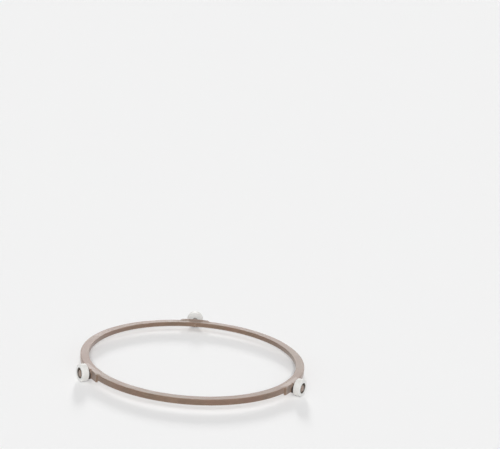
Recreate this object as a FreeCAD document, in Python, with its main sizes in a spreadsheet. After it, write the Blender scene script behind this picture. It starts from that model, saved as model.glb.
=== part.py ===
import FreeCAD, Part
import math
import os
import Sketcher

# Roller ring of a microwave oven: a flat plastic ring, channelled underneath, that carries three free
# rollers on stub axles round its rim. The rollers run on the oven floor and the glass plate rides on
# top of them. Origin on the ring's axis at the floor, +Z up, one roller on +Y.

# Driving dimensions in millimetres.
SIZES = {
    "ring_outer_radius": 100.0,
    "ring_width": 7.6,
    "ring_top_height": 9.0,
    "skirt_height": 5.1,
    "skirt_wall": 2.4,
    "lip_height": 4.1,
    "lip_wall": 1.8,
    "web_wall": 2.0,
    "ring_edge_round": 0.7,
    "ring_foot_round": 0.4,
    "boss_projection": 0.8,
    "boss_depth": 4.7,
    "boss_rise": 0.8,
    "boss_drop": 1.3,
    "boss_plate_wall": 1.5,
    "boss_face_length": 25.0,
    "boss_base_length": 32.0,
    "boss_end_slope": 8.5,
    "boss_edge_bevel": 0.5,
    "standoff_length": 3.4,
    "standoff_width": 9.0,
    "standoff_rise": 0.8,
    "standoff_foot": 4.7,
    "standoff_bevel": 1.2,
    "axle_diameter": 5.0,
    "axle_clearance": 0.05,
    "head_width": 5.0,
    "head_foot": 3.1,
    "head_recess": 0.3,
    "head_bevel": 0.4,
    "roller_diameter": 15.0,
    "roller_width": 6.0,
    "roller_edge_round": 0.7,
    "roller_side_play": 0.15,
    "counterbore_diameter": 9.0,
    "counterbore_depth": 3.2,
    "counterbore_bevel": 0.3,
    "gate_width": 1.8,
    "gate_height": 2.4,
    "gate_projection": 0.5,
}

# The rollers stand evenly round the ring, the first one on +Y and the others after it anticlockwise.
ROLLER_NAMES = ("roller_rear", "roller_left", "roller_right")
ROLLER_ANGLES = {name: 360 * place / len(ROLLER_NAMES) for place, name in enumerate(ROLLER_NAMES)}

doc = FreeCAD.newDocument("roller_ring_parts")
sheet = doc.addObject("Spreadsheet::Sheet", "Sizes")
for row, (name, size) in enumerate(SIZES.items(), start=1):
    sheet.set("A%d" % row, name)
    sheet.set("B%d" % row, str(size))
    sheet.setAlias("B%d" % row, name)
doc.recompute()

# Places that several features share, as expressions of the driving dimensions.
AXLE_HEIGHT = "Sizes.roller_diameter / 2"
AXLE_RADIUS = "Sizes.axle_diameter / 2"
RING_INNER_RADIUS = "(Sizes.ring_outer_radius - Sizes.ring_width)"
SKIRT_INNER_RADIUS = "(Sizes.ring_outer_radius - Sizes.skirt_wall)"
LIP_OUTER_RADIUS = "(%s + Sizes.lip_wall)" % RING_INNER_RADIUS
SKIRT_BOTTOM = "(Sizes.ring_top_height - Sizes.skirt_height)"
LIP_BOTTOM = "(Sizes.ring_top_height - Sizes.lip_height)"
CHANNEL_ROOF = "(Sizes.ring_top_height - Sizes.web_wall)"
BOSS_BOTTOM = "(%s - Sizes.boss_drop)" % SKIRT_BOTTOM
BOSS_TOP = "(Sizes.ring_top_height + Sizes.boss_rise)"
BOSS_BACK = "(Sizes.ring_outer_radius - Sizes.boss_depth)"
BOSS_FACE = "(Sizes.ring_outer_radius + Sizes.boss_projection)"
BOSS_CREST = "(%s - Sizes.boss_edge_bevel)" % BOSS_FACE
BOSS_PLATE_BACK = "(%s - Sizes.boss_plate_wall)" % BOSS_FACE
STANDOFF_FACE = "(%s + Sizes.standoff_length)" % BOSS_FACE
ROLLER_INNER_FACE = "(%s + Sizes.roller_side_play)" % STANDOFF_FACE
ROLLER_OUTER_FACE = "(%s + Sizes.roller_width)" % ROLLER_INNER_FACE
COUNTERBORE_FLOOR = "(%s - Sizes.counterbore_depth)" % ROLLER_OUTER_FACE
HEAD_SEAT = "(%s + Sizes.roller_side_play)" % COUNTERBORE_FLOOR
HEAD_END = "(%s - Sizes.head_recess)" % ROLLER_OUTER_FACE


def value(expression):
    """Number that an expression of the driving dimensions gives."""
    return float(sheet.evalExpression(expression))


def origin_plane(body, role):
    """Origin plane of a body by its role, such as XY_Plane."""
    return next(plane for plane in body.Origin.OriginFeatures if plane.Role == role)


def new_sketch(body, name, role, offset=None):
    """Sketch on an origin plane of the body, moved along the plane's normal by an expression."""
    sketch = body.newObject("Sketcher::SketchObject", name)
    sketch.AttachmentSupport = [(origin_plane(body, role), "")]
    sketch.MapMode = "FlatFace"
    if offset is not None:
        sketch.setExpression("AttachmentOffset.Base.z", offset)
    return sketch


def pin_point(sketch, geometry, position, across, up):
    """Hold a point at the place two expressions give; "0" puts it on the sketch's own axis."""
    for kind, axis, expression in (("DistanceX", -2, across), ("DistanceY", -1, up)):
        if expression == "0":
            sketch.addConstraint(Sketcher.Constraint("PointOnObject", geometry, position, axis))
            continue
        index = sketch.addConstraint(
            Sketcher.Constraint(kind, -1, 1, geometry, position, value(expression)))
        sketch.setExpression("Constraints[%d]" % index, expression)


def add_outline(sketch, corners):
    """Closed outline of straight sides through corners given as pairs of expressions."""
    points = [FreeCAD.Vector(value(across), value(up), 0) for across, up in corners]
    first = sketch.GeometryCount
    for start, end in zip(points, points[1:] + points[:1]):
        sketch.addGeometry(Part.LineSegment(start, end), False)
    last = sketch.GeometryCount - 1
    for side in range(first, last + 1):
        following = first if side == last else side + 1
        sketch.addConstraint(Sketcher.Constraint("Coincident", side, 2, following, 1))
        pin_point(sketch, side, 1, *corners[side - first])


def add_arch(sketch, half_width, centre_height, foot_height):
    """Arch outline: flat foot, straight sides and a half-round top about the centre height."""
    half = value(half_width)
    centre = FreeCAD.Vector(0, value(centre_height), 0)
    foot = value(foot_height)
    corners = [
        FreeCAD.Vector(-half, centre.y, 0),
        FreeCAD.Vector(-half, foot, 0),
        FreeCAD.Vector(half, foot, 0),
        FreeCAD.Vector(half, centre.y, 0),
    ]
    sides = [sketch.addGeometry(Part.LineSegment(start, end), False)
             for start, end in zip(corners, corners[1:])]
    circle = Part.Circle(centre, FreeCAD.Vector(0, 0, 1), half)
    crown = sketch.addGeometry(Part.ArcOfCircle(circle, 0, math.pi), False)
    sketch.addConstraint(Sketcher.Constraint("Coincident", sides[0], 2, sides[1], 1))
    sketch.addConstraint(Sketcher.Constraint("Coincident", sides[1], 2, sides[2], 1))
    sketch.addConstraint(Sketcher.Constraint("Coincident", sides[2], 2, crown, 1))
    sketch.addConstraint(Sketcher.Constraint("Coincident", sides[0], 1, crown, 2))
    pin_point(sketch, sides[0], 1, "-(%s)" % half_width, centre_height)
    pin_point(sketch, sides[1], 1, "-(%s)" % half_width, foot_height)
    pin_point(sketch, sides[2], 1, half_width, foot_height)
    pin_point(sketch, sides[2], 2, half_width, centre_height)
    index = sketch.addConstraint(Sketcher.Constraint("DistanceY", -1, 1, crown, 3, centre.y))
    sketch.setExpression("Constraints[%d]" % index, centre_height)


def add_circle(sketch, radius, up):
    """Circle centred on the sketch's upright axis at the height an expression gives."""
    centre = FreeCAD.Vector(0, value(up), 0)
    circle = sketch.addGeometry(Part.Circle(centre, FreeCAD.Vector(0, 0, 1), value(radius)), False)
    pin_point(sketch, circle, 3, "0", up)
    index = sketch.addConstraint(Sketcher.Constraint("Radius", circle, value(radius)))
    sketch.setExpression("Constraints[%d]" % index, radius)


def pad(body, name, sketch, length, reverse=False):
    """Solid of a sketch's outline, as long as an expression gives."""
    feature = body.newObject("PartDesign::Pad", name)
    feature.Profile = sketch
    feature.Reversed = reverse
    feature.setExpression("Length", length)
    return feature


def cut(body, name, sketch, length, reverse=False, both_ways=False):
    """Cut of a sketch's outline into the body, which has to lose material."""
    doc.recompute()
    before = body.Shape.Volume
    feature = body.newObject("PartDesign::Pocket", name)
    feature.Profile = sketch
    feature.Reversed = reverse
    feature.SideType = "Symmetric" if both_ways else "One side"
    feature.setExpression("Length", length)
    doc.recompute()
    if not feature.Shape.Volume < before:
        raise RuntimeError("%s cuts nothing" % name)
    return feature


def revolve(body, name, sketch, axis):
    """Full turn of a sketch's outline about one of the sketch's axes."""
    feature = body.newObject("PartDesign::Revolution", name)
    feature.Profile = sketch
    feature.ReferenceAxis = (sketch, [axis])
    feature.Angle = 360
    return feature


def edge_names(shape, wanted):
    """Names of the edges that a test accepts."""
    return ["Edge%d" % (i + 1) for i, edge in enumerate(shape.Edges) if wanted(edge)]


def round_edges(body, name, base, wanted, radius):
    """Fillet on the edges of a feature that a test accepts."""
    doc.recompute()
    feature = body.newObject("PartDesign::Fillet", name)
    feature.Base = (base, edge_names(base.Shape, wanted))
    feature.setExpression("Radius", radius)
    return feature


def bevel_edges(body, name, base, wanted, size):
    """Chamfer on the edges of a feature that a test accepts."""
    doc.recompute()
    feature = body.newObject("PartDesign::Chamfer", name)
    feature.Base = (base, edge_names(base.Shape, wanted))
    feature.setExpression("Size", size)
    return feature


def is_circle(edge, radius, centre):
    """True for a round edge of a radius about a centre."""
    curve = edge.Curve
    if not isinstance(curve, Part.Circle):
        return False
    return math.isclose(curve.Radius, radius, abs_tol=1e-4) and curve.Center.isEqual(centre, 1e-4)


def ring_edge_test(rims):
    """Test for the ring's round edges at pairs of a radius and a height, given as expressions."""
    places = [(value(radius), FreeCAD.Vector(0, 0, value(height))) for radius, height in rims]
    return lambda edge: any(is_circle(edge, radius, centre) for radius, centre in places)


def is_head_end(edge):
    """True for an edge round the end face of a snap head, at any of the stations."""
    reach = value(HEAD_END)
    for angle in map(math.radians, ROLLER_ANGLES.values()):
        outward = FreeCAD.Vector(-math.sin(angle), math.cos(angle), 0)
        if all(math.isclose(corner.Point.dot(outward), reach, abs_tol=1e-4) for corner in edge.Vertexes):
            return True
    return False


def build_ring_section(body):
    """Ring with a flat top, a deep outer skirt and a shorter inner lip, open underneath."""
    sketch = new_sketch(body, "ring_section", "XZ_Plane")
    top = "Sizes.ring_top_height"
    add_outline(sketch, [
        (RING_INNER_RADIUS, LIP_BOTTOM),
        (LIP_OUTER_RADIUS, LIP_BOTTOM),
        (LIP_OUTER_RADIUS, CHANNEL_ROOF),
        (SKIRT_INNER_RADIUS, CHANNEL_ROOF),
        (SKIRT_INNER_RADIUS, SKIRT_BOTTOM),
        ("Sizes.ring_outer_radius", SKIRT_BOTTOM),
        ("Sizes.ring_outer_radius", top),
        (RING_INNER_RADIUS, top),
    ])
    ring = revolve(body, "ring_sweep", sketch, "V_Axis")
    top_edges = ring_edge_test([("Sizes.ring_outer_radius", top), (RING_INNER_RADIUS, top)])
    topped = round_edges(body, "ring_edge", ring, top_edges, "Sizes.ring_edge_round")
    foot_edges = ring_edge_test([
        (RING_INNER_RADIUS, LIP_BOTTOM),
        (LIP_OUTER_RADIUS, LIP_BOTTOM),
        (SKIRT_INNER_RADIUS, SKIRT_BOTTOM),
        ("Sizes.ring_outer_radius", SKIRT_BOTTOM),
    ])
    round_edges(body, "ring_foot", topped, foot_edges, "Sizes.ring_foot_round")


def build_station(body):
    """Boss, stand-off, axle, snap head and gate mark of the roller on +Y."""
    half_face = "Sizes.boss_face_length / 2"
    half_base = "Sizes.boss_base_length / 2"
    plan = new_sketch(body, "boss_plan", "XY_Plane", BOSS_BOTTOM)
    add_outline(plan, [
        ("-(%s)" % half_base, BOSS_BACK),
        (half_base, BOSS_BACK),
        (half_face, BOSS_FACE),
        ("-(%s)" % half_face, BOSS_FACE),
    ])
    boss = pad(body, "boss", plan, "%s - %s" % (BOSS_TOP, BOSS_BOTTOM))

    slopes = new_sketch(body, "boss_end_slopes", "XZ_Plane", "-%s" % BOSS_FACE)
    for sign in ("", "-"):
        base_end = "%s(%s)" % (sign, half_base)
        crest_end = "%s(%s - Sizes.boss_end_slope)" % (sign, half_base)
        add_outline(slopes, [
            (base_end, "Sizes.ring_top_height"),
            (base_end, BOSS_TOP),
            (crest_end, BOSS_TOP),
        ])
    ends = cut(body, "boss_ends", slopes, "%s - %s" % (BOSS_FACE, BOSS_BACK), reverse=True)

    ramp = new_sketch(body, "boss_ramp_section", "YZ_Plane")
    add_outline(ramp, [
        (BOSS_BACK, "Sizes.ring_top_height"),
        (BOSS_CREST, BOSS_TOP),
        (BOSS_BACK, BOSS_TOP),
    ])
    ramp_cut = cut(body, "boss_ramp", ramp, "Sizes.boss_base_length", both_ways=True)

    bevel = new_sketch(body, "boss_bevel_section", "YZ_Plane")
    add_outline(bevel, [
        (BOSS_FACE, "%s - Sizes.boss_edge_bevel" % BOSS_TOP),
        (BOSS_FACE, BOSS_TOP),
        (BOSS_CREST, BOSS_TOP),
    ])
    bevel_cut = cut(body, "boss_bevel", bevel, "Sizes.boss_base_length", both_ways=True)

    relief = new_sketch(body, "boss_relief_plan", "XY_Plane", BOSS_BOTTOM)
    add_outline(relief, [
        ("-(%s)" % half_base, RING_INNER_RADIUS),
        (half_base, RING_INNER_RADIUS),
        (half_base, BOSS_PLATE_BACK),
        ("-(%s)" % half_base, BOSS_PLATE_BACK),
    ])
    relief_cut = cut(body, "boss_relief", relief, "Sizes.boss_drop", reverse=True)

    standoff_outline = new_sketch(body, "standoff_outline", "XZ_Plane", "-%s" % BOSS_PLATE_BACK)
    side = "Sizes.standoff_width / 2"
    crest = "(%s - Sizes.standoff_bevel)" % side
    foot = "%s - Sizes.standoff_foot" % AXLE_HEIGHT
    top = "%s + Sizes.standoff_rise" % AXLE_HEIGHT
    shoulder = "%s - Sizes.standoff_bevel" % top
    add_outline(standoff_outline, [
        ("-(%s)" % side, foot),
        (side, foot),
        (side, shoulder),
        (crest, top),
        ("-%s" % crest, top),
        ("-(%s)" % side, shoulder),
    ])
    standoff = pad(body, "standoff", standoff_outline, "%s - %s" % (STANDOFF_FACE, BOSS_PLATE_BACK),
                   reverse=True)

    axle_outline = new_sketch(body, "axle_outline", "XZ_Plane", "-%s" % BOSS_PLATE_BACK)
    add_circle(axle_outline, AXLE_RADIUS, AXLE_HEIGHT)
    axle = pad(body, "axle", axle_outline, "%s - %s" % (HEAD_SEAT, BOSS_PLATE_BACK), reverse=True)

    head_outline = new_sketch(body, "head_outline", "XZ_Plane", "-%s" % HEAD_SEAT)
    add_arch(head_outline, "Sizes.head_width / 2", AXLE_HEIGHT, "%s - Sizes.head_foot" % AXLE_HEIGHT)
    head = pad(body, "snap_head", head_outline, "%s - %s" % (HEAD_END, HEAD_SEAT), reverse=True)

    gate_outline = new_sketch(body, "gate_outline", "XY_Plane", LIP_BOTTOM)
    gate_radius = "Sizes.gate_width / 2"
    gate_centre = "%s - Sizes.gate_projection + %s" % (RING_INNER_RADIUS, gate_radius)
    add_circle(gate_outline, gate_radius, gate_centre)
    gate = pad(body, "gate_mark", gate_outline, "Sizes.gate_height")
    return [boss, ends, ramp_cut, bevel_cut, relief_cut, standoff, axle, head, gate]


def build_ring():
    """The ring moulding: the ring and its three roller stations, all one piece."""
    body = doc.addObject("PartDesign::Body", "roller_ring")
    body.Label = "roller_ring"
    build_ring_section(body)
    station = build_station(body)
    stations = body.newObject("PartDesign::PolarPattern", "stations")
    stations.Originals = station
    stations.Axis = (next(axis for axis in body.Origin.OriginFeatures if axis.Role == "Z_Axis"), [""])
    stations.Angle = 360
    stations.Occurrences = len(ROLLER_ANGLES)
    body.Tip = stations
    body.Tip = bevel_edges(body, "head_lead_in", stations, is_head_end, "Sizes.head_bevel")
    return body


def build_roller(name, angle):
    """Roller turned about its axle, bored for the axle and counterbored for the snap head."""
    body = doc.addObject("PartDesign::Body", name)
    body.Label = name
    section = new_sketch(body, name + "_section", "YZ_Plane")
    bore = "%s + Sizes.axle_clearance" % AXLE_RADIUS
    rim = "Sizes.roller_diameter / 2"
    counterbore = "Sizes.counterbore_diameter / 2"
    add_outline(section, [
        (ROLLER_INNER_FACE, bore),
        (ROLLER_INNER_FACE, rim),
        (ROLLER_OUTER_FACE, rim),
        (ROLLER_OUTER_FACE, counterbore),
        (COUNTERBORE_FLOOR, counterbore),
        (COUNTERBORE_FLOOR, bore),
    ])
    wheel = revolve(body, name + "_turned", section, "H_Axis")
    tread = value(rim)
    mouth = value(counterbore)
    inner_centre = FreeCAD.Vector(0, value(ROLLER_INNER_FACE), 0)
    outer_centre = FreeCAD.Vector(0, value(ROLLER_OUTER_FACE), 0)
    rounded = round_edges(
        body, name + "_tread_edges", wheel,
        lambda edge: is_circle(edge, tread, inner_centre) or is_circle(edge, tread, outer_centre),
        "Sizes.roller_edge_round")
    body.Tip = bevel_edges(
        body, name + "_mouth", rounded,
        lambda edge: is_circle(edge, mouth, outer_centre),
        "Sizes.counterbore_bevel")
    body.Placement = FreeCAD.Placement(
        FreeCAD.Vector(0, 0, value(AXLE_HEIGHT)), FreeCAD.Rotation(FreeCAD.Vector(0, 0, 1), angle))
    body.setExpression("Placement.Base.z", AXLE_HEIGHT)
    return body


bodies = [build_ring()]
bodies += [build_roller(name, angle) for name, angle in ROLLER_ANGLES.items()]
doc.recompute()

failed = [item.Name for item in doc.Objects if {"Invalid", "Error"} & set(item.State)]
failed += [body.Label for body in bodies if body.Shape.isNull() or not body.Shape.isValid()]
if failed:
    raise RuntimeError("not built: " + ", ".join(failed))

os.makedirs("parts", exist_ok=True)
for body in bodies:
    body.Shape.exportStep(os.path.join("parts", body.Label + ".step"))
    box = body.Shape.optimalBoundingBox()
    print("%s: %d solid, %.1f mm3, x %.2f to %.2f, y %.2f to %.2f, z %.2f to %.2f" % (
        body.Label, len(body.Shape.Solids), body.Shape.Volume,
        box.XMin, box.XMax, box.YMin, box.YMax, box.ZMin, box.ZMax))
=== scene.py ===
import bpy
import math
from mathutils import Euler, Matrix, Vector

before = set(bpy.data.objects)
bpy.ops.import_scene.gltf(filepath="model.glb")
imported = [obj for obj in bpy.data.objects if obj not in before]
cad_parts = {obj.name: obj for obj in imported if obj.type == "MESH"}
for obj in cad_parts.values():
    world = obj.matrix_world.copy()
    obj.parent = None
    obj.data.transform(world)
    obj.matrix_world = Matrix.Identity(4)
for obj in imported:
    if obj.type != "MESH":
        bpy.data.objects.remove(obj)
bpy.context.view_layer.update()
print("frame loaded:", ", ".join(sorted(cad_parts)))


# node helpers shared by the finishes
def startMaterial(name):
    material = bpy.data.materials.new(name)
    material.use_nodes = True
    return material, material.node_tree.nodes["Principled BSDF"]


def addNode(tree, kind, inputs=None, **settings):
    node = tree.nodes.new(kind)
    for setting, value in settings.items():
        setattr(node, setting, value)
    for socket, value in (inputs or {}).items():
        if isinstance(value, bpy.types.NodeSocket):
            tree.links.new(value, node.inputs[socket])
        else:
            node.inputs[socket].default_value = value
    return node


def addMath(tree, operation, first, second):
    return addNode(tree, "ShaderNodeMath", {0: first, 1: second}, operation=operation).outputs[0]


def addNoise(tree, place, scale, detail, roughness=0.55):
    inputs = {"Vector": place, "Scale": scale, "Detail": detail, "Roughness": roughness}
    return addNode(tree, "ShaderNodeTexNoise", inputs).outputs["Fac"]


# a noise lies mostly between 0.3 and 0.7, so that is what is spread where no range is given
def spread(tree, source, low, high, fromLow=0.3, fromHigh=0.7):
    return addNode(tree, "ShaderNodeMapRange", {
        "Value": source,
        "From Min": fromLow,
        "From Max": fromHigh,
        "To Min": low,
        "To Max": high,
    }).outputs["Result"]


# inputs 6 and 7 and output 2 of a Mix node are its colours
def mixColours(tree, factor, first, second):
    colours = [
        colour if isinstance(colour, bpy.types.NodeSocket) else (*colour, 1.0)
        for colour in (first, second)
    ]
    inputs = {0: factor, 6: colours[0], 7: colours[1]}
    return addNode(tree, "ShaderNodeMix", inputs, data_type="RGBA").outputs[2]


def addBump(tree, height, strength, distance, under=None):
    inputs = {"Height": height, "Strength": strength, "Distance": distance}
    if under is not None:
        inputs["Normal"] = under
    return addNode(tree, "ShaderNodeBump", inputs).outputs["Normal"]


# painted shade from ambient occlusion: 0 in the open, 1 deep in a gap of about the given reach
def addGapShade(tree, reach, start, full, samples=8):
    shade = addNode(tree, "ShaderNodeAmbientOcclusion", {"Distance": reach}, samples=samples)
    return spread(tree, shade.outputs["AO"], 0.0, 1.0, start, full)


# 0 on the flat, 1 on an edge sharper than the given radius
def addEdgeRub(tree, radius, start, full, samples=4):
    rounded = addNode(tree, "ShaderNodeBevel", {"Radius": radius}, samples=samples).outputs["Normal"]
    plain = addNode(tree, "ShaderNodeNewGeometry").outputs["Normal"]
    agree = addNode(tree, "ShaderNodeVectorMath", {0: rounded, 1: plain}, operation="DOT_PRODUCT")
    return spread(tree, agree.outputs["Value"], 0.0, 1.0, start, full)


# distance from the axis of a turned surface, and a place on it for noise that has no seam;
# a small grip draws the noise out round the axis
def addTurnedPlace(tree, across, up, along, grip):
    flat = addNode(tree, "ShaderNodeCombineXYZ", {"X": across, "Y": up, "Z": 0.0}).outputs[0]
    distance = addNode(tree, "ShaderNodeVectorMath", {0: flat}, operation="LENGTH").outputs["Value"]
    around = addNode(tree, "ShaderNodeVectorMath", {0: flat}, operation="NORMALIZE")
    turn = addNode(tree, "ShaderNodeSeparateXYZ", {0: around.outputs["Vector"]})
    return distance, addNode(tree, "ShaderNodeCombineXYZ", {
        "X": addMath(tree, "MULTIPLY", turn.outputs[0], grip),
        "Y": addMath(tree, "MULTIPLY", turn.outputs[1], grip),
        "Z": addMath(tree, "ADD", distance, along),
    }).outputs[0]


# brown heat-proof moulding of the ring
ringFinish = {
    "colour": (0.138, 0.087, 0.052),
    "paleColour": (0.215, 0.132, 0.087),
    "cloudScale": 55.0,
    "cloudDetail": 4.0,
    "cloudLeast": 0.15,
    "speckleScale": 495.0,
    "speckleDetail": 3.0,
    "speckleLeast": 0.5,
    "warmColour": (0.185, 0.098, 0.066),
    "warmScale": 24.0,
    "warmDetail": 2.0,
    "warmShare": 0.7,
    "warmRange": (0.45, 0.62),
    # worn pale edges, partly a painted highlight along the rounded top edges
    "rubAndHighlightColour": (0.380, 0.290, 0.220),
    "rubRadius": 0.0012,
    "rubRange": (0.985, 0.86),  # how far the rounded normal agrees with the plain one
    "rubPatches": (0.25, 0.9),
    "scuffGrip": 0.006,
    "scuffScale": 2600.0,
    "scuffDetail": 2.0,
    "scuffShare": 0.28,
    "scuffRange": (0.52, 0.70),
    "scuffLeast": 0.2,
    "scuffStrength": 0.3,
    "scuffDepth": 0.00002,
    # painted shade: a near-black colour laid into narrow gaps and onto the stand-offs between the
    # bosses and the rollers, where shade falls
    "gapShadeColour": (0.018, 0.012, 0.008),
    "gapShadeReach": 0.0035,
    "gapShadeRange": (0.45, 0.20),
    # painted shade on the stand-offs: the band between these distances from the ring's axis is
    # darkened
    "gapStart": 0.1017,  # from the ring's axis, just past the corners of the bosses
    "gapEnd": 0.1046,  # just past the ends of the stand-offs
    "gapFade": 0.0003,
    "roughLow": 0.60,
    "roughHigh": 0.72,
    "smearLeast": 0.4,
    "grainScale": 1300.0,
    "grainDetail": 2.0,
    "grainStrength": 0.3,
    "grainDepth": 0.00004,
    "bloom": 0.46,  # pale veil, strongest at a low angle
    "bloomRoughness": 0.55,
    "bloomColour": (1.0, 0.96, 0.95),
    "refraction": 1.5,
}


def makeRingPlastic(finish):
    material, shader = startMaterial("ring_plastic_moulded")
    tree = material.node_tree
    place = addNode(tree, "ShaderNodeTexCoord").outputs["Object"]
    across, up, along = addNode(tree, "ShaderNodeSeparateXYZ", {0: place}).outputs
    distance, turned = addTurnedPlace(tree, across, up, along, finish["scuffGrip"])
    clouds = addNoise(tree, place, finish["cloudScale"], finish["cloudDetail"])
    speckle = addNoise(tree, place, finish["speckleScale"], finish["speckleDetail"])
    warmth = addNoise(tree, place, finish["warmScale"], finish["warmDetail"])
    scuffs = addNoise(tree, turned, finish["scuffScale"], finish["scuffDetail"])
    grain = addNoise(tree, place, finish["grainScale"], finish["grainDetail"])

    # pale clouds and speckle on the brown, and warmer areas over both
    cloudy = spread(tree, clouds, finish["cloudLeast"], 1.0)
    speckled = spread(tree, speckle, finish["speckleLeast"], 1.0)
    tone = addMath(tree, "MULTIPLY", cloudy, speckled)
    toned = mixColours(tree, tone, finish["colour"], finish["paleColour"])
    warmed = spread(tree, warmth, 0.0, finish["warmShare"], *finish["warmRange"])
    moulded = mixColours(tree, warmed, toned, finish["warmColour"])

    # rubbed edges in patches, partly a painted highlight along the edges, and scuffs along the ring
    # that the warm areas mostly lack
    edges = addEdgeRub(tree, finish["rubRadius"], *finish["rubRange"])
    rubAndHighlight = addMath(tree, "MULTIPLY", edges, spread(tree, speckle, *finish["rubPatches"]))
    lines = spread(tree, scuffs, 0.0, finish["scuffShare"], *finish["scuffRange"])
    streaks = addMath(tree, "MULTIPLY", lines, spread(tree, warmth, 1.0, finish["scuffLeast"]))
    worn = addMath(tree, "MAXIMUM", rubAndHighlight, streaks)
    rubbedAndHighlighted = mixColours(tree, worn, moulded, finish["rubAndHighlightColour"])

    # painted shade in narrow gaps, and on the stand-offs behind the rollers, where shade falls
    nookShade = addGapShade(tree, finish["gapShadeReach"], *finish["gapShadeRange"])
    pastBoss = (finish["gapStart"], finish["gapStart"] + finish["gapFade"])
    pastStandoff = (finish["gapEnd"], finish["gapEnd"] + finish["gapFade"])
    beyond = spread(tree, distance, 0.0, 1.0, *pastBoss)
    before = spread(tree, distance, 1.0, 0.0, *pastStandoff)
    paintedShade = addMath(tree, "MAXIMUM", nookShade, addMath(tree, "MULTIPLY", beyond, before))
    shaded = mixColours(tree, paintedShade, rubbedAndHighlighted, finish["gapShadeColour"])
    tree.links.new(shaded, shader.inputs["Base Color"])

    # gloss varies with the clouds and the scuffs, and a fine grain lies over the scuffs
    smooth = spread(tree, clouds, 0.0, 1.0)
    smear = addMath(tree, "MULTIPLY", smooth, spread(tree, scuffs, finish["smearLeast"], 1.0))
    rough = spread(tree, smear, finish["roughLow"], finish["roughHigh"], 0.0, 1.0)
    tree.links.new(rough, shader.inputs["Roughness"])
    scuffed = addBump(tree, scuffs, finish["scuffStrength"], finish["scuffDepth"])
    grained = addBump(tree, grain, finish["grainStrength"], finish["grainDepth"], scuffed)
    tree.links.new(grained, shader.inputs["Normal"])
    shader.inputs["IOR"].default_value = finish["refraction"]
    shader.inputs["Sheen Weight"].default_value = finish["bloom"]
    shader.inputs["Sheen Roughness"].default_value = finish["bloomRoughness"]
    shader.inputs["Sheen Tint"].default_value = (*finish["bloomColour"], 1.0)
    return material


# white low-friction moulding of the rollers
rollerFinish = {
    "colour": (0.750, 0.750, 0.730),
    "paleColour": (0.820, 0.820, 0.805),
    "cloudScale": 160.0,
    "cloudDetail": 4.0,
    "treadColour": (0.60, 0.57, 0.52),
    "treadRange": (0.0066, 0.0076),  # from the axle's line
    "treadShare": 0.6,
    "turnGrip": 0.003,
    "turnScale": 3500.0,
    "turnDetail": 2.0,
    "turnStrength": 0.3,
    "turnDepth": 0.00002,
    # painted shade: a dark colour laid into the counterbore round the axle head, where shade falls
    "boreShadeColour": (0.070, 0.052, 0.036),
    "boreEdge": 0.0046,  # from the axle's line, within the counterbore's bevel
    "boreFade": 0.0002,
    "boreFloor": -0.0004,  # along the axle from the roller's middle, just under the counterbore
    "boreLeast": 0.8,
    # painted shade: darkening laid into narrow gaps, where shade falls
    "gapShadeColour": (0.030, 0.022, 0.015),
    "gapShadeReach": 0.0025,
    "gapShadeRange": (0.30, 0.08),
    "roughLow": 0.52,
    "roughHigh": 0.66,
    "grainScale": 1700.0,
    "grainDetail": 2.0,
    "grainStrength": 0.25,
    "grainDepth": 0.00002,
    "refraction": 1.35,
}


def makeRollerPlastic(finish, name, middle):
    material, shader = startMaterial(name + "_plastic")
    tree = material.node_tree
    heading = math.atan2(middle.y, middle.x)
    place = addNode(tree, "ShaderNodeTexCoord").outputs["Object"]
    local = addNode(tree, "ShaderNodeMapping", {
        "Vector": place,
        "Location": middle,
        "Rotation": (0.0, 0.0, heading),
    }, vector_type="TEXTURE").outputs[0]
    along, across, up = addNode(tree, "ShaderNodeSeparateXYZ", {0: local}).outputs
    distance, turned = addTurnedPlace(tree, across, up, along, finish["turnGrip"])
    clouds = addNoise(tree, local, finish["cloudScale"], finish["cloudDetail"])
    marks = addNoise(tree, turned, finish["turnScale"], finish["turnDetail"])
    grain = addNoise(tree, local, finish["grainScale"], finish["grainDetail"])

    # faint clouds in the white, and marks round the tread
    cloudy = spread(tree, clouds, 0.0, 1.0)
    moulded = mixColours(tree, cloudy, finish["colour"], finish["paleColour"])
    tread = spread(tree, distance, 0.0, 1.0, *finish["treadRange"])
    worn = addMath(tree, "MULTIPLY", tread, spread(tree, marks, 0.0, finish["treadShare"]))
    treaded = mixColours(tree, worn, moulded, finish["treadColour"])

    # painted shade in the counterbore, and in narrow gaps
    boreRim = (finish["boreEdge"], finish["boreEdge"] + finish["boreFade"])
    nearAxle = spread(tree, distance, 1.0, 0.0, *boreRim)
    outside = addMath(tree, "GREATER_THAN", along, finish["boreFloor"])
    inBore = addMath(tree, "MULTIPLY", nearAxle, outside)
    boreShade = addMath(tree, "MULTIPLY", inBore, spread(tree, clouds, finish["boreLeast"], 1.0))
    boreShaded = mixColours(tree, boreShade, treaded, finish["boreShadeColour"])
    paintedShade = addGapShade(tree, finish["gapShadeReach"], *finish["gapShadeRange"])
    shaded = mixColours(tree, paintedShade, boreShaded, finish["gapShadeColour"])
    tree.links.new(shaded, shader.inputs["Base Color"])

    # gloss varies with the clouds, and a fine grain lies over the turned marks
    rough = spread(tree, clouds, finish["roughLow"], finish["roughHigh"])
    tree.links.new(rough, shader.inputs["Roughness"])
    turnedMarks = addBump(tree, marks, finish["turnStrength"], finish["turnDepth"])
    grained = addBump(tree, grain, finish["grainStrength"], finish["grainDepth"], turnedMarks)
    tree.links.new(grained, shader.inputs["Normal"])
    shader.inputs["IOR"].default_value = finish["refraction"]
    return material


def middleOf(part):
    corners = [part.matrix_world @ Vector(corner) for corner in part.bound_box]
    return sum(corners, Vector()) / len(corners)


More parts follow.
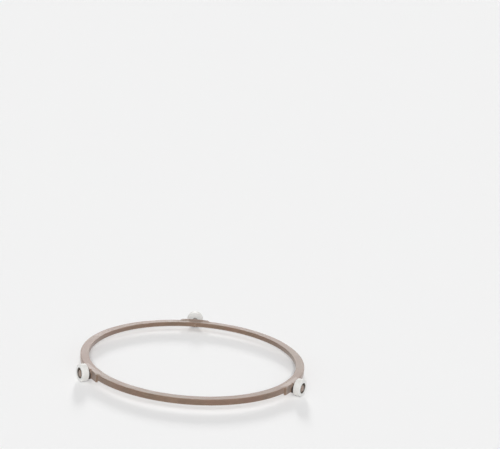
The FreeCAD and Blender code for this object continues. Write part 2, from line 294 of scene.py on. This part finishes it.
for nodeName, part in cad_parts.items():
    part.data.materials.clear()
    if nodeName == "roller_ring":
        part.data.materials.append(makeRingPlastic(ringFinish))
    else:
        part.data.materials.append(makeRollerPlastic(rollerFinish, nodeName, middleOf(part)))
print("finishes on", len(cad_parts), "pieces")

# pale studio floor
floorSetup = {
    "size": 30.0,
    "colour": (0.90, 0.90, 0.90),
    "roughness": 0.9,
    "specular": 0.0,
}


def makeFloor(setup):
    half = setup["size"] / 2
    corners = [(-half, -half, 0), (half, -half, 0), (half, half, 0), (-half, half, 0)]
    mesh = bpy.data.meshes.new("studio_floor")
    mesh.from_pydata(corners, [], [(0, 1, 2, 3)])
    floor = bpy.data.objects.new("studio_floor", mesh)
    bpy.context.scene.collection.objects.link(floor)
    material, shader = startMaterial("studio_floor_white")
    shader.inputs["Base Color"].default_value = (*setup["colour"], 1.0)
    shader.inputs["Roughness"].default_value = setup["roughness"]
    shader.inputs["Specular IOR Level"].default_value = setup["specular"]
    mesh.materials.append(material)


makeFloor(floorSetup)

# soft studio light: pale walls all round, lights in front, at both sides and low behind,
# and a fill from above that casts no shadow
lightSetup = {
    "wallColour": (1.0, 1.0, 1.0),
    "wallStrength": 0.22,
    "ceilingStrength": 0.14,
    "wallTop": 0.32,
    "ceilingStart": 0.62,
    "distance": 3.0,  # only where the lights are drawn, since suns shine alike from anywhere
    "lights": {
        "front_light": {
            "azimuth": 0.0, "elevation": 23.5, "spread": 8.0,
            "strength": 1.65, "shine": True, "shadow": True,
        },
        "left_light": {
            "azimuth": -75.0, "elevation": 32.0, "spread": 45.0,
            "strength": 0.22, "shine": True, "shadow": True,
        },
        "right_light": {
            "azimuth": 75.0, "elevation": 32.0, "spread": 45.0,
            "strength": 0.22, "shine": True, "shadow": True,
        },
        "rear_light": {
            "azimuth": 182.0, "elevation": 15.0, "spread": 9.0,
            "strength": 1.1, "shine": True, "shadow": True,
        },
        "rear_fill": {
            "azimuth": 182.0, "elevation": 15.0, "spread": 9.0,
            "strength": 0.9, "shine": False, "shadow": True,
        },
        "top_fill": {
            "azimuth": 0.0, "elevation": 89.0, "spread": 60.0,
            "strength": 1.2, "shine": False, "shadow": False,
        },
    },
}


def makeWalls(setup):
    world = bpy.data.worlds.new("studio_walls")
    bpy.context.scene.world = world
    world.use_nodes = True
    tree = world.node_tree
    background = tree.nodes["Background"]
    heading = addNode(tree, "ShaderNodeTexCoord").outputs["Generated"]
    height = addNode(tree, "ShaderNodeSeparateXYZ", {0: heading}).outputs[2]
    heights = (setup["wallTop"], setup["ceilingStart"])
    glow = spread(tree, height, setup["wallStrength"], setup["ceilingStrength"], *heights)
    # white to the camera and in gloss, whatever light the walls give
    ray = addNode(tree, "ShaderNodeLightPath").outputs
    mirrored = addMath(tree, "MAXIMUM", ray["Is Glossy Ray"], ray["Is Transmission Ray"])
    seen = addMath(tree, "MAXIMUM", ray["Is Camera Ray"], mirrored)
    tree.links.new(addMath(tree, "MAXIMUM", glow, seen), background.inputs["Strength"])
    background.inputs["Color"].default_value = (*setup["wallColour"], 1.0)


def makeLights(setup):
    for name, light in setup["lights"].items():
        lamp = bpy.data.lights.new(name, "SUN")
        lamp.angle = math.radians(light["spread"])
        lamp.energy = light["strength"]
        lamp.use_shadow = light["shadow"]
        lampObject = bpy.data.objects.new(name, lamp)
        bpy.context.scene.collection.objects.link(lampObject)
        turn = math.radians(light["azimuth"])  # 0 shines from the camera's side
        rise = math.radians(light["elevation"])
        level = math.cos(rise)
        towards = Vector((level * math.sin(turn), -level * math.cos(turn), math.sin(rise)))
        lampObject.location = towards * setup["distance"]
        lampObject.rotation_euler = (-towards).to_track_quat("-Z", "Y").to_euler()
        lampObject.visible_glossy = light["shine"]


makeWalls(lightSetup)
makeLights(lightSetup)
print("studio set")

# camera at the photograph's angle
cameraSetup = {
    "place": (-0.00701, -1.09603, 0.41730),
    "turn": (75.490, -4.706, -1.284),
    "lens": 93.6,
    "sensor": 36.0,
    "nearest": 0.01,
    "farthest": 50.0,
}


def makeCamera(setup):
    cameraData = bpy.data.cameras.new("photo_camera")
    cameraData.lens = setup["lens"]
    cameraData.sensor_width = setup["sensor"]
    cameraData.clip_start = setup["nearest"]
    cameraData.clip_end = setup["farthest"]
    camera = bpy.data.objects.new("photo_camera", cameraData)
    bpy.context.scene.collection.objects.link(camera)
    camera.location = setup["place"]
    camera.rotation_euler = Euler([math.radians(angle) for angle in setup["turn"]], "XYZ")
    bpy.context.scene.camera = camera


makeCamera(cameraSetup)
bpy.context.scene.view_settings.view_transform = "Standard"
print("camera set")
